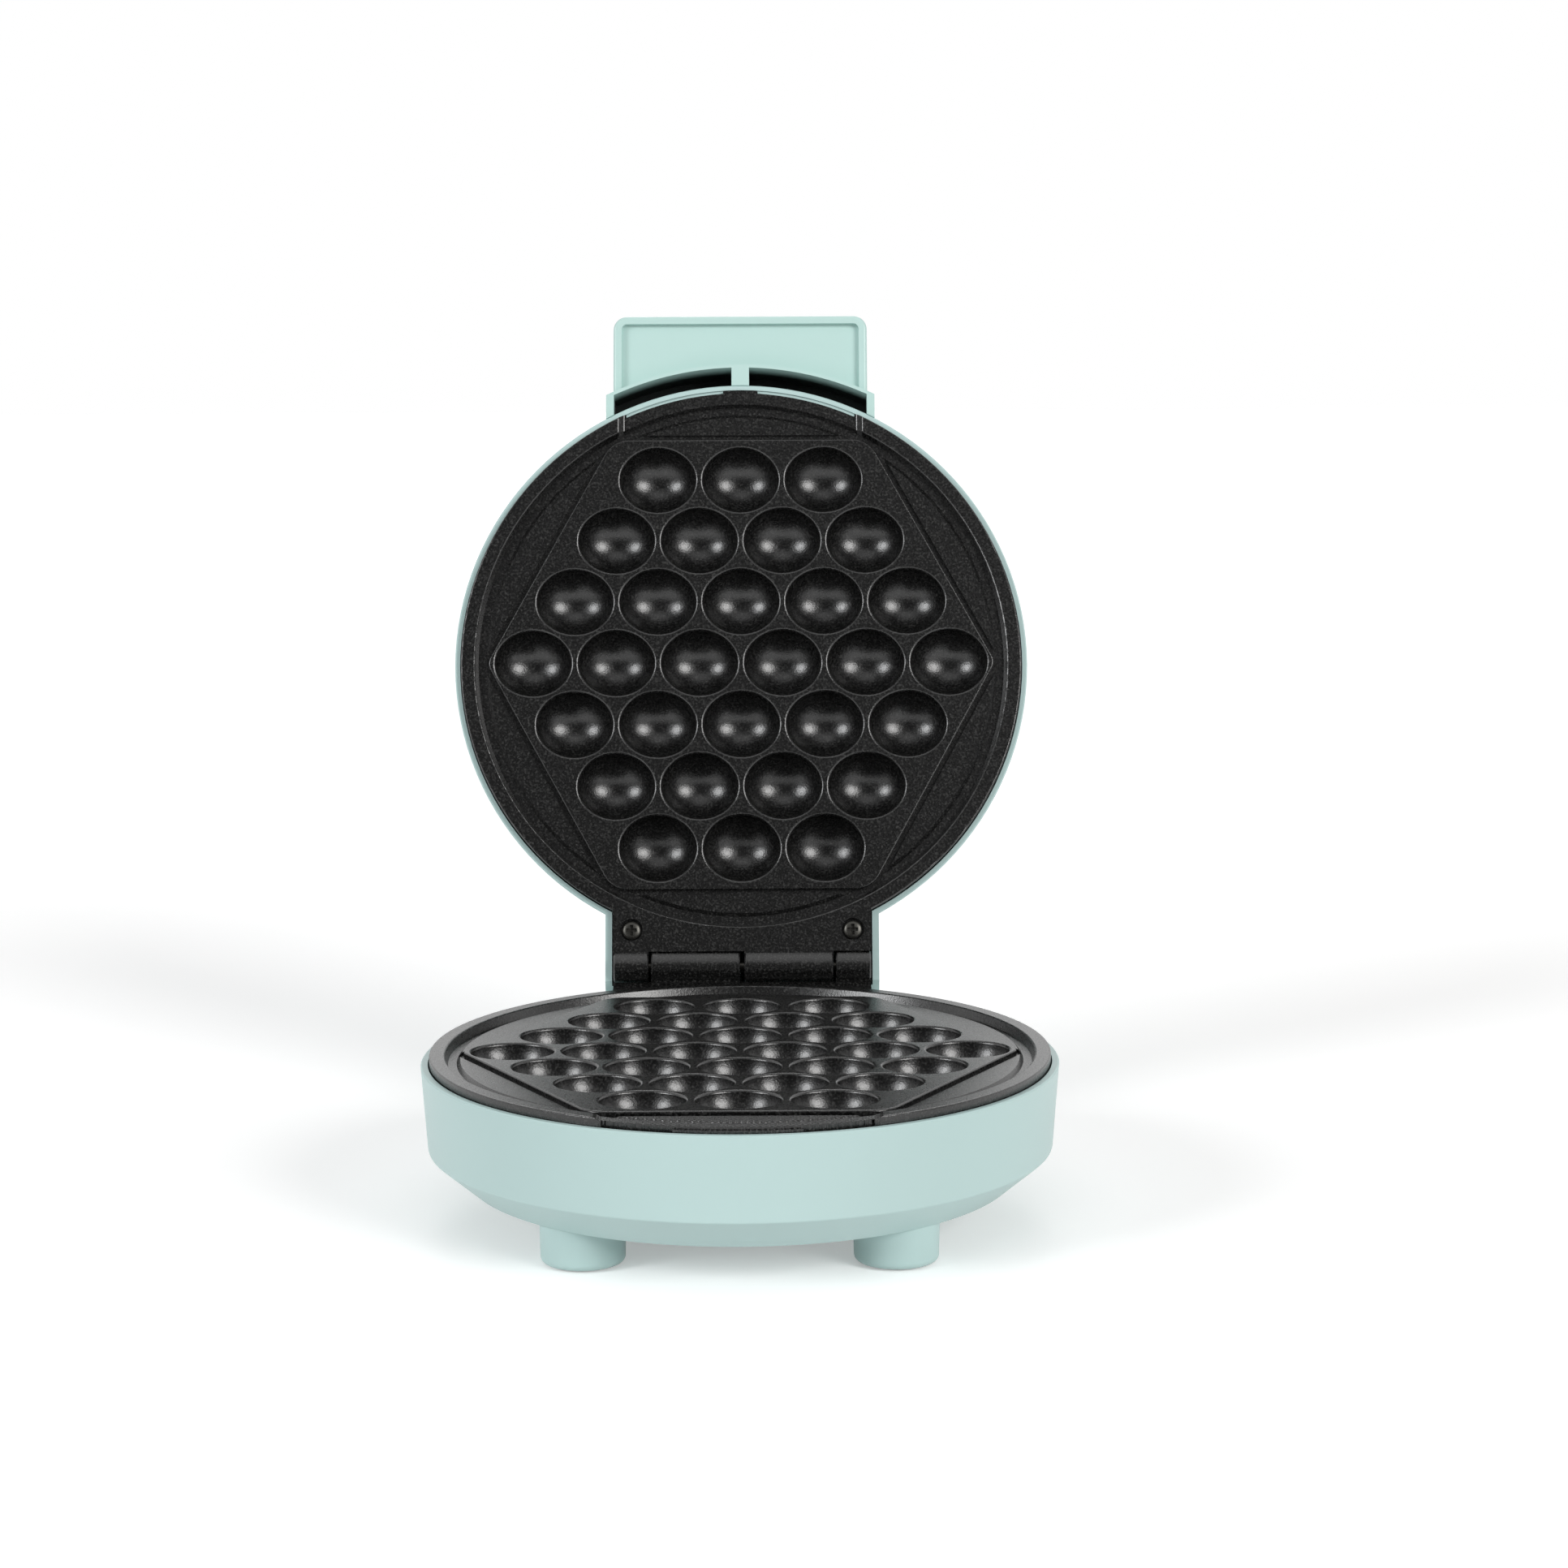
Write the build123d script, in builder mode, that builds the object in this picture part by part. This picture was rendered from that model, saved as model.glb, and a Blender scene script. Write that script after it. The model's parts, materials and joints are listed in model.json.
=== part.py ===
"""Bubble waffle maker with an opening lid, modelled in the pose with the lid standing open.

Millimetres, +Z up. The origin is on the floor, under the middle of the bounding box with the lid open.
The hinge is at the back (+Y) and the spout side of the plates is at the front (-Y).
"""
import os
from math import atan2, cos, pi, radians, sin, sqrt, tan

from build123d import *

os.makedirs("parts", exist_ok=True)

# Places of the plates and of the hinge
frame_shift = 47.5          # origin to the middle of the lower plate, towards the front
deck_height = 55.6          # floor to the batter face of the lower plate
plate_gap = 1.5             # between the two batter faces with the lid shut
hinge_reach = 110.0         # plate centre to hinge axis
hinge_rise = 4.8            # hinge axis above the lower batter face
open_angle = 108.0          # from shut to resting on the stop

# Batter cups
cup_pitch = 30.0
row_pitch = 22.5
row_counts = (3, 4, 5, 6, 5, 4, 3)
cup_half_length = 13.7
cup_half_width = 11.9
cup_lip = 0.8
cup_floor = 3.5

# Hexagon round the cups
hex_flat = 82.5             # centre to the flat sides at the spout and the hinge
hex_half_flat = 46.5        # half the length of a flat side
hex_side = 91.8             # centre to the side corners
hex_corner = 10.0
hex_side_corner = 5.0
hex_edge = 0.6
channel_width = 1.8
channel_depth = 1.1

# Plate castings
lower_plate_radius = 102.2
upper_plate_radius = 101.1
ring_rise = 0.6             # outer ring above the batter face
ring_width = 5.0
ring_edge = 0.5
groove_wall = 1.2
groove_floor_width = 2.8
groove_depth = 2.4          # below the batter face
segment_drop = 1.1          # flat segments below the batter face
disc_thickness = 6.0        # batter face to the underside of the disc
spout_half_width = 42.2
spout_flare = 2.4
spout_drop = 1.0
spout_inset = 1.2
setback_half = 42.0

# Hinge
knuckle_radius = 6.0
knuckle_bore = 2.06
knuckle_short = (-45.9, -33.4)
knuckle_long = (0.8, 32.5)
knuckle_clearance = 0.5
knuckle_edge = 0.5
pin_radius = 2.0
pin_bore = 2.01
pin_half = 45.6
arm_top = 1.0               # lower hinge arms, below the batter face
arm_thickness = 3.0
web_near = 2.2              # web under a lower knuckle, in front of the axis
web_far = 4.6
apron_half = 45.9           # apron of the lower plate in front of the barrels
apron_lip = 2.0
apron_rise = 0.3            # lip above the batter face

# Neck of the upper plate and its screws
plate_neck_half = 46.1
plate_neck_thickness = 5.0
neck_screw_x = 39.5
neck_screw_reach = 97.0
neck_recess_radius = 4.0
neck_recess_depth = 2.4
neck_head_radius = 3.3
neck_head_height = 1.9
neck_shank_radius = 1.75
neck_shank_length = 12.0
neck_hole = 1.8
neck_boss_radius = 3.4
neck_boss_gap = 0.3

# Heating elements
element_radius = 52.0
element_tube = 3.3
element_clearance = 0.2
rail_half_width = 6.0
rail_height = 4.0
element_leg_x = 16.0
element_leg_bend = 8.0
element_leg_end = 28.0
terminal_pin_radius = 1.2
terminal_pin_length = 8.0
rail_gap_half = 26.0

# Bosses, posts and heat shields
boss_reach = 72.0
boss_radius = 4.5
boss_drop = 24.0            # batter face to the end of the bosses
boss_bore = 2.0
boss_bore_depth = 10.0
shield_thickness = 0.8
shield_flat = 84.0
shield_rim = 90.0
shield_window = (44.0, 42.0)
screw_hole = 2.2
screw_shank = 1.95
screw_head_radius = 3.6
screw_head_height = 2.4
post_radius = 5.4
post_counterbore = 4.1
post_seat = 5.3             # housing underside to the screw head seat
plate_screw_length = 21.0
shield_screw_length = 9.8
seat_gap = 0.3

# Housings, measured down from each batter face
rim_drop = 2.3
plate_seat = 6.3
plate_side_gap = 0.45
lower_rim_radius = 105.0
lower_wall_radius = 103.0
lower_wall_drop = 30.3
lower_floor_radius = 90.0
lower_floor_drop = 41.3
upper_rim_radius = 103.4
upper_wall_radius = 101.6
upper_wall_drop = 23.0
upper_top_radius = 88.0
upper_top_drop = 33.0
wall = 2.4
rim_edge = 0.5
wall_edge = 1.0

# Neck of the lower housing, which is the stop of the open lid
neck_half = 48.9
stop_drop = 4.3
lower_neck_reach = 126.0
lower_neck_drop = 28.0
neck_edge = 2.0

# Neck of the upper housing
stop_gap = 0.3
upper_neck_depth = 19.3
upper_neck_root_depth = 25.0
upper_neck_nose = 2.0
upper_neck_lip = 5.0

# Legs and feet
leg_x = 49.7
front_leg_y = 57.0
rear_leg_x = 39.0
rear_leg_y = 79.5
leg_radius = 13.5
leg_draft = 1.2             # degrees
leg_edge = 2.2
leg_wall = 2.6
leg_floor = 3.0
pad_radius = 9.7
pad_recess = 1.6
pad_stand = 0.6             # pad standing out of the leg
pad_gap = 0.3

# Handle and its pockets
handle_half = 46.5
handle_reach = 130.6
handle_corner = 5.0
handle_face_drop = 6.0
handle_depth = 20.0
handle_rim = 3.0
handle_recess = 2.0
handle_edge = 1.2
flange_radius = 111.3
flange_thickness = 1.2
flange_half = 49.0
pocket_half = 46.2
pocket_floor = 2.0
rib_half = 3.2
handle_seat = 0.2
handle_screw_depths = (9.0, 16.0)
handle_screw_shank = 1.4
handle_screw_length = 9.0
handle_screw_head = 2.6
handle_screw_head_height = 1.6
handle_screw_hole = 1.45
handle_foot_drop = 22.0

# Ledge of the lid and the tab of its plate
ledge_half = 41.6
ledge_width = 1.1
ledge_drop = 0.6
ledge_height = 2.2
tab_half = 6.0
tab_drop = 1.2
tab_gap = 0.3
lip_half = 20.0
lip_drop = 1.4

# Sensors under the lower plate
sensor_pad = (34.0, 14.0, 3.0)
sensor_y = 8.0
thermostat_radius = 8.0
thermostat_height = 9.0
thermostat_flange = (30.0, 9.0, 0.8)
thermostat_tab = (6.3, 0.8, 3.6)
thermostat_tab_x = 4.2
small_bore = 1.25
small_shank = 1.2
small_head_radius = 2.3
small_head_height = 1.6
small_bore_depth = 4.8
flange_hole = 1.4
thermostat_screw_x = 12.0
fuse_y = 30.0
fuse_radius = 2.0
fuse_length = 12.0
fuse_lead_radius = 0.5
fuse_lead_length = 9.0
fuse_gap = 0.05
clip_width = 8.0
clip_thickness = 0.8
clip_foot = 7.0
clip_screw_y = 36.0
clip_bore_depth = 2.4

# Terminal block and leads
block_size = (44.0, 16.0, 11.0)
block_front = 36.0
block_screw_x = 17.0
block_screw_shank = 1.5
block_hole = 1.7
block_floor_hole = 1.55
block_floor_depth = 2.0
block_screw_length = 12.6
block_edge = 0.8
lead_radius = 1.3
lead_bend = 3.5
lead_turn_y = 12.0
element_lead_drop = 31.0
thermostat_lead_drop = 34.6
upper_lead_drop = 27.7
upper_lead_reach = 60.0
connector_radius = 2.7
connector_length = 14.0
connector_bore = 1.35
connector_grip = 5.0

# Cord inlet in the back of the lower neck
inlet_x = 28.0
inlet_drop = 17.0
inlet_body = 6.0
inlet_flange = 9.0
inlet_inner_flange = 7.4
inlet_flange_thickness = 2.0
inlet_bore = 3.9
inlet_gap = 0.15

# Sizes that follow from the ones above
plate_block = cup_half_width + cup_floor
rail_end = plate_block + rail_height
shield_end = boss_drop + shield_thickness
upper_axis = plate_gap - hinge_rise
lower_cavity = lower_floor_drop - wall
tilt = radians(open_angle)
post_head = lower_floor_drop - post_seat
stop_reach = hinge_rise + stop_drop - stop_gap
lean = tilt - pi / 2


def lid_origin():
    """Centre of the upper batter face with the lid open."""
    back = -hinge_reach
    up = plate_gap - hinge_rise
    y = hinge_reach + back * cos(tilt) + up * sin(tilt)
    z = deck_height + hinge_rise - back * sin(tilt) + up * cos(tilt)
    return (0, y - frame_shift, z)


# Each face plane has +Z out of the batter face and +Y towards the spout
deck = Plane(origin=(0, -frame_shift, deck_height), x_dir=(-1, 0, 0), z_dir=(0, 0, 1))
lid = Plane(origin=lid_origin(), x_dir=(1, 0, 0), z_dir=(0, -sin(tilt), -cos(tilt)))

four_bosses = [(boss_reach, 0), (0, boss_reach), (-boss_reach, 0), (0, -boss_reach)]
neck_places = [(neck_screw_x, -neck_screw_reach), (-neck_screw_x, -neck_screw_reach)]
legs = [(leg_x, front_leg_y), (-leg_x, front_leg_y), (rear_leg_x, -rear_leg_y), (-rear_leg_x, -rear_leg_y)]


def half_section(face):
    """Sketch plane through the middle of a face: x is the radius, y is out of the face."""
    return Plane(origin=face.origin, x_dir=face.x_dir, z_dir=face.y_dir * -1)


def side_section(face, x):
    """Sketch plane across the hinge: x is towards the spout, y is out of the face."""
    return Plane(origin=face.from_local_coords((x, 0, 0)), x_dir=face.y_dir, z_dir=face.x_dir)


def middle_axis(face):
    return Axis(face.origin, face.z_dir)


def flat_edges(face, height):
    """Edges of the part in work that lie at one height over a face."""
    return edges().filter_by(
        lambda edge: all(abs(face.to_local_coords(edge @ t).Z - height) < 0.01 for t in (0, 0.3, 0.7, 1)))


def slab(width, near, far, bottom, top, mode=Mode.ADD, middle=0):
    """Box across the hinge line between two places and two heights on the current plane."""
    with Locations((middle, (near + far) / 2, bottom)):
        Box(width, far - near, top - bottom, align=(Align.CENTER, Align.CENTER, Align.MIN), mode=mode)


def rod(face, places, bottom, top, radius, mode=Mode.ADD):
    """Round columns at places on a face."""
    with BuildSketch(face.offset(bottom)) as form:
        with Locations(*places):
            Circle(radius)
    extrude(form.sketch, amount=top - bottom, mode=mode)


def cup_places():
    """Centres of the batter cups on a face."""
    middle = (len(row_counts) - 1) / 2
    places = []
    for row, count in enumerate(row_counts):
        for cup in range(count):
            places.append(((cup - (count - 1) / 2) * cup_pitch, (row - middle) * row_pitch))
    return places


def hexagon(grow):
    """Draw the hexagon round the cups, grown outwards."""
    Polygon(
        (hex_half_flat, hex_flat), (-hex_half_flat, hex_flat), (-hex_side, 0),
        (-hex_half_flat, -hex_flat), (hex_half_flat, -hex_flat), (hex_side, 0), align=None)
    fillet(vertices().filter_by(lambda corner: abs(corner.Y) > 1), hex_corner)
    fillet(vertices().filter_by(lambda corner: abs(corner.Y) < 1), hex_side_corner)
    if grow:
        offset(amount=grow)


def round_plate(face, radius):
    """Disc with its outer ring and groove, and the raised hexagon in a shallow channel."""
    ring = radius - ring_width
    outer_foot = ring - groove_wall
    inner_foot = outer_foot - groove_floor_width
    with BuildSketch(half_section(face)) as form:
        with BuildLine():
            Polyline(
                (0, -disc_thickness), (radius, -disc_thickness), (radius, ring_rise), (ring, ring_rise),
                (outer_foot, -groove_depth), (inner_foot, -groove_depth),
                (inner_foot - groove_wall, -segment_drop), (0, -segment_drop), close=True)
        make_face()
        fillet(vertices().filter_by(lambda corner: corner.Y > 0), ring_edge)
    revolve(form.sketch, axis=middle_axis(face))
    with BuildSketch(face.offset(-segment_drop)) as form:
        hexagon(channel_width)
    extrude(form.sketch, amount=-channel_depth, mode=Mode.SUBTRACT)
    with BuildSketch(face.offset(-plate_block)) as form:
        hexagon(0)
    extrude(form.sketch, amount=plate_block)
    fillet(flat_edges(face, 0), hex_edge)


def spout(face, radius):
    """Lower the outer ring over the width of the spout, and set its edge back."""
    front = Plane(
        origin=face.from_local_coords((0, radius + ring_width, -spout_drop + ring_rise)),
        x_dir=face.x_dir, z_dir=face.y_dir * -1)
    with BuildSketch(front) as form:
        Polygon(
            (-spout_half_width, 0), (spout_half_width, 0), (spout_half_width + 2 * spout_flare, 2 * spout_drop),
            (-spout_half_width - 2 * spout_flare, 2 * spout_drop), align=None)
    extrude(form.sketch, amount=radius + ring_width - hex_flat - channel_width, mode=Mode.SUBTRACT)
    with BuildSketch(face.offset(-disc_thickness)) as form:
        Rectangle(2 * setback_half, radius + ring_width, align=(Align.CENTER, Align.MIN))
        Circle(radius - spout_inset, mode=Mode.SUBTRACT)
    extrude(form.sketch, amount=2 * disc_thickness, mode=Mode.SUBTRACT)


def front_lip(face, radius, half, top, bottom):
    """Short lip that reaches the full radius again inside the spout."""
    with BuildSketch(face.offset(bottom)) as form:
        Circle(radius)
        Circle(radius - ring_width, mode=Mode.SUBTRACT)
        Rectangle(2 * half, 2 * radius, align=(Align.CENTER, Align.MIN), mode=Mode.INTERSECT)
    extrude(form.sketch, amount=top - bottom)


def cups():
    """Sink the batter cups with their rounded lips."""
    with Locations(*[(x, y, 0) for x, y in cup_places()]):
        add(cup_form.part, mode=Mode.SUBTRACT)


def underside(face):
    """Rail for the element, and bosses for the screws."""
    with BuildSketch(half_section(face)) as form:
        with Locations((element_radius, -rail_end)):
            Rectangle(2 * rail_half_width, rail_height, align=(Align.CENTER, Align.MIN))
            Circle(element_tube + element_clearance, mode=Mode.SUBTRACT)
    revolve(form.sketch, axis=middle_axis(face))
    slab(
        2 * rail_gap_half, -element_radius - 2 * rail_half_width, -element_radius + 2 * rail_half_width,
        -rail_end - rail_height, -plate_block, Mode.SUBTRACT)
    rod(face, four_bosses, -boss_drop, -plate_block, boss_radius)
    rod(face, four_bosses, -boss_drop, boss_bore_depth - boss_drop, boss_bore, Mode.SUBTRACT)


def knuckles(face, height):
    """Hinge barrels of one plate, with chamfered ends."""
    centre = face.from_local_coords((0, -hinge_reach, height))
    for start, end in (knuckle_short, knuckle_long):
        with BuildSketch(Plane(origin=centre, x_dir=face.x_dir, z_dir=face.y_dir * -1)) as form:
            with Locations(((start + end) / 2, 0)):
                Rectangle(end - start, knuckle_radius, align=(Align.CENTER, Align.MIN))
            chamfer(vertices().filter_by(lambda corner: corner.Y > knuckle_radius / 2), knuckle_edge)
        revolve(form.sketch, axis=Axis(centre, face.x_dir))


def hinge_bore(face, height, radius):
    """Bore the barrels of one plate for the pin."""
    with BuildSketch(side_section(face, -neck_half)) as form:
        with Locations((-hinge_reach, height)):
            Circle(radius)
    extrude(form.sketch, amount=2 * neck_half, mode=Mode.SUBTRACT)


def screw(seat, head_radius, head_height, shank_radius, length):
    """Cross-head screw with its shank going up from the seat plane."""
    with BuildSketch(seat) as form:
        Circle(shank_radius)
    extrude(form.sketch, amount=length)
    with BuildSketch(seat) as form:
        Circle(head_radius)
    extrude(form.sketch, amount=-head_height)
    with BuildSketch(seat.offset(-head_height)) as form:
        Rectangle(1.2 * head_radius, 0.3 * head_radius)
        Rectangle(0.3 * head_radius, 1.2 * head_radius)
    extrude(form.sketch, amount=0.6 * head_height, mode=Mode.SUBTRACT)


def spot(face, x, y, height, flip=False):
    """Plane at a place on a face, looking out of it, or into it when flipped."""
    return Plane(
        origin=face.from_local_coords((x, y, height)), x_dir=face.x_dir,
        z_dir=face.z_dir * (-1 if flip else 1))


def heater(face):
    """Tubular element with its terminal pins."""
    end = sqrt(element_radius ** 2 - element_leg_x ** 2)
    with BuildLine(face.offset(-rail_end)) as track:
        Line((element_leg_x, -element_leg_end), (element_leg_x, -end))
        ThreePointArc((element_leg_x, -end), (0, element_radius), (-element_leg_x, -end))
        Line((-element_leg_x, -end), (-element_leg_x, -element_leg_end))
        bends = vertices().filter_by(lambda corner: face.to_local_coords(Vector(*corner)).Y < -end + 1)
        fillet(bends, element_leg_bend)
    tube(track, element_tube)
    for x in (element_leg_x, -element_leg_x):
        with BuildSketch(Plane(
                origin=face.from_local_coords((x, -element_leg_end - 1, -rail_end)),
                x_dir=face.x_dir, z_dir=face.y_dir)) as form:
            Circle(terminal_pin_radius)
        extrude(form.sketch, amount=terminal_pin_length + 1)


def tube(track, radius):
    """Round bar along a line."""
    path = track.wire()
    with BuildSketch(Plane(origin=path @ 0, z_dir=path % 0)) as form:
        Circle(radius)
    sweep(form.sketch, path=path)


def lead(face, x, points):
    """Insulated lead through points given as place and height, with rounded bends."""
    with BuildLine(side_section(face, x)) as track:
        FilletPolyline(*points, radius=lead_bend)
    tube(track, lead_radius)


def heat_shield(face):
    """Dished reflector sheet with a window for the leads and four screw holes."""
    rise = shield_rim - shield_flat
    with BuildSketch(half_section(face)) as form:
        Polygon(
            (0, -boss_drop), (shield_flat, -boss_drop), (shield_rim, rise - boss_drop),
            (shield_rim + shield_thickness * sqrt(2), rise - boss_drop),
            (shield_flat + shield_thickness * tan(pi / 8), -shield_end), (0, -shield_end), align=None)
    revolve(form.sketch, axis=middle_axis(face))
    with BuildSketch(face.offset(-shield_end)) as form:
        RectangleRounded(*shield_window, connector_length / 2)
    extrude(form.sketch, amount=shield_thickness, mode=Mode.SUBTRACT)
    rod(face, four_bosses, -shield_end, -boss_drop, screw_hole, Mode.SUBTRACT)


def bowl(face, rim, side, side_drop, end, end_drop, top, inset=0.0, edge=0.0, mode=Mode.ADD):
    """Turned form of a housing, or of the hollow in it when it is inset."""
    slope = atan2(end_drop - side_drop, side - end)
    with BuildSketch(side_section(face, 0)) as form:
        Polygon(
            (0, top), (rim - inset, top), (side - inset, inset * tan(pi / 4 - slope / 2) - side_drop),
            (end - inset * tan(slope / 2), inset - end_drop), (0, inset - end_drop), align=None)
        if edge:
            fillet(vertices().filter_by(lambda corner: corner.X > 1 and corner.Y < -plate_seat), edge)
            chamfer(vertices().filter_by(lambda corner: corner.X > 1 and corner.Y > -plate_seat), rim_edge)
    revolve(form.sketch, axis=middle_axis(face), mode=mode)


def neck_end(depth, inset=0.0):
    """How far the end of the upper neck lies past the hinge axis, at a depth below the batter face."""
    return (stop_reach - inset - (depth + upper_axis) * sin(lean)) / cos(lean)


# Cup cutter, a stretched ball with a collar that rounds the lip
with BuildPart() as cup_form:
    with BuildSketch(Plane.XZ):
        Ellipse(cup_half_length, cup_half_width)
        Rectangle(2 * cup_half_length, cup_half_width, align=(Align.CENTER, Align.MIN), mode=Mode.SUBTRACT)
    revolve(axis=Axis.X)
    split(bisect_by=Plane.XY, keep=Keep.BOTTOM)
    with BuildSketch():
        Ellipse(cup_half_length + 2 * cup_lip, cup_half_width + 2 * cup_lip)
    extrude(amount=cup_lip)
    mouth = edges().filter_by_position(Axis.Z, -0.01, 0.01).sort_by(SortBy.LENGTH)[:-1]
    fillet(mouth, cup_lip)

# Lower plate
with BuildPart(deck) as lower_plate:
    for start, end in (knuckle_short, knuckle_long):
        with BuildSketch(side_section(deck, start)):
            Polygon(
                (-hex_flat, -arm_top), (web_far - hinge_reach, -arm_top), (web_far - hinge_reach, hinge_rise),
                (web_near - hinge_reach, hinge_rise), (web_near - hinge_reach, -arm_top - arm_thickness),
                (-hex_flat, -arm_top - arm_thickness), align=None)
        extrude(amount=end - start)
    apron = web_far - hinge_reach
    slab(2 * apron_half, apron, -hex_flat, -arm_top - arm_thickness, -arm_top)
    slab(2 * apron_half, apron, apron + apron_lip, -arm_top - arm_thickness, apron_rise)
    knuckles(deck, hinge_rise)
    rod(deck, [(0, 0)], -disc_thickness, disc_thickness, lower_plate_radius - spout_inset, Mode.SUBTRACT)
    round_plate(deck, lower_plate_radius)
    spout(deck, lower_plate_radius)
    front_lip(deck, lower_plate_radius, lip_half, -lip_drop, -disc_thickness)
    cups()
    underside(deck)
    slab(
        sensor_pad[0], sensor_y - sensor_pad[1] / 2, sensor_y + sensor_pad[1] / 2,
        -plate_block - sensor_pad[2], -plate_block)
    rod(
        deck, [(thermostat_screw_x, sensor_y), (-thermostat_screw_x, sensor_y)],
        -plate_block - sensor_pad[2], small_bore_depth - plate_block - sensor_pad[2], small_bore, Mode.SUBTRACT)
    rod(deck, [(0, clip_screw_y)], -plate_block, clip_bore_depth - plate_block, small_bore, Mode.SUBTRACT)
    hinge_bore(deck, hinge_rise, pin_bore)
lower_plate.part.label = "lower_plate"
export_step(lower_plate.part, "parts/lower_plate.step")

# Upper plate
with BuildPart(lid) as upper_plate:
    slab(
        2 * plate_neck_half, -hinge_reach + 2, -hex_flat, ring_rise - plate_neck_thickness, ring_rise)
    for start, end in ((knuckle_short[1], knuckle_long[0]), (knuckle_long[1], neck_half)):
        with BuildSketch(side_section(lid, start)):
            with Locations((-hinge_reach, upper_axis)):
                Circle(knuckle_radius + knuckle_clearance)
        extrude(amount=end - start, mode=Mode.SUBTRACT)
    knuckles(lid, upper_axis)
    rod(lid, [(0, 0)], -disc_thickness, disc_thickness, upper_plate_radius - spout_inset, Mode.SUBTRACT)
    round_plate(lid, upper_plate_radius)
    spout(lid, upper_plate_radius)
    front_lip(lid, upper_plate_radius, tab_half, -tab_drop, -disc_thickness)
    cups()
    underside(lid)
    hinge_bore(lid, upper_axis, knuckle_bore)
    rod(lid, neck_places, -disc_thickness, disc_thickness, neck_hole, Mode.SUBTRACT)
    rod(lid, neck_places, ring_rise - neck_recess_depth, disc_thickness, neck_recess_radius, Mode.SUBTRACT)
upper_plate.part.label = "upper_plate"
export_step(upper_plate.part, "parts/upper_plate.step")

# Elements and heat shields
with BuildPart(deck) as lower_element:
    heater(deck)
lower_element.part.label = "lower_element"
export_step(lower_element.part, "parts/lower_element.step")

with BuildPart(lid) as upper_element:
    heater(lid)
upper_element.part.label = "upper_element"
export_step(upper_element.part, "parts/upper_element.step")

with BuildPart(deck) as lower_heat_shield:
    heat_shield(deck)
lower_heat_shield.part.label = "lower_heat_shield"
export_step(lower_heat_shield.part, "parts/lower_heat_shield.step")

with BuildPart(lid) as upper_heat_shield:
    heat_shield(lid)
upper_heat_shield.part.label = "upper_heat_shield"
export_step(upper_heat_shield.part, "parts/upper_heat_shield.step")

# Lower housing with its neck, legs and posts
lower_form = (lower_rim_radius, lower_wall_radius, lower_wall_drop, lower_floor_radius, lower_floor_drop)
lower_hollow = (lower_wall_radius, lower_wall_radius, lower_wall_drop, lower_floor_radius, lower_floor_drop)
leg_end = deck_height - pad_stand
block_middle = -block_front - block_size[1] / 2
block_places = [(block_screw_x, block_middle), (-block_screw_x, block_middle)]

with BuildPart(deck) as lower_housing:
    slab(2 * neck_half, -lower_neck_reach, -leg_x, -lower_neck_drop, -stop_drop)
    fillet(edges().filter_by(lambda edge: deck.to_local_coords(edge @ 0.5).Y < -leg_x - 1), neck_edge)
    bowl(deck, *lower_form, -rim_drop, edge=wall_edge)
    slab(2 * neck_half, -lower_neck_reach, -hex_flat, -stop_drop, 0, Mode.SUBTRACT)
    for x, y in legs:
        with BuildSketch(deck.offset(-leg_end)):
            with Locations((x, y)):
                Circle(leg_radius)
        extrude(amount=leg_end - lower_wall_drop, taper=-leg_draft)
    fillet(flat_edges(deck, -leg_end), leg_edge)
    bowl(deck, *lower_hollow, -plate_seat, inset=wall, mode=Mode.SUBTRACT)
    rod(deck, [(0, 0)], -plate_seat, 0, lower_plate_radius + plate_side_gap, Mode.SUBTRACT)
    slab(
        2 * (neck_half - wall), wall - lower_neck_reach, -leg_x, wall - lower_neck_drop, -stop_drop - wall,
        Mode.SUBTRACT)
    rod(deck, legs, leg_floor + pad_recess - leg_end, -lower_wall_drop, leg_radius - leg_wall, Mode.SUBTRACT)
    rod(deck, legs, -leg_end, pad_recess - leg_end, pad_radius + pad_gap, Mode.SUBTRACT)
    rod(deck, four_bosses, -lower_cavity - 1, -shield_end - seat_gap, post_radius)
    rod(deck, four_bosses, -lower_floor_drop, 0, screw_hole, Mode.SUBTRACT)
    rod(deck, four_bosses, -lower_floor_drop, -post_head, post_counterbore, Mode.SUBTRACT)
    rod(
        deck, block_places, -lower_cavity - block_floor_depth, -lower_cavity, block_floor_hole, Mode.SUBTRACT)
    with BuildSketch(Plane(
            origin=deck.from_local_coords((-inlet_x, -lower_neck_reach, -inlet_drop)),
            x_dir=deck.x_dir, z_dir=deck.y_dir)):
        Circle(inlet_body + inlet_gap)
    extrude(amount=2 * wall, mode=Mode.SUBTRACT)
lower_housing.part.label = "lower_housing"
export_step(lower_housing.part, "parts/lower_housing.step")

# Upper housing with its neck, ledge and screw bosses
upper_form = (upper_rim_radius, upper_wall_radius, upper_wall_drop, upper_top_radius, upper_top_drop)
upper_hollow = (upper_wall_radius, upper_wall_radius, upper_wall_drop, upper_top_radius, upper_top_drop)
neck_root = hex_flat + boss_bore_depth
lip_depth = upper_neck_nose - upper_axis

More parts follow.
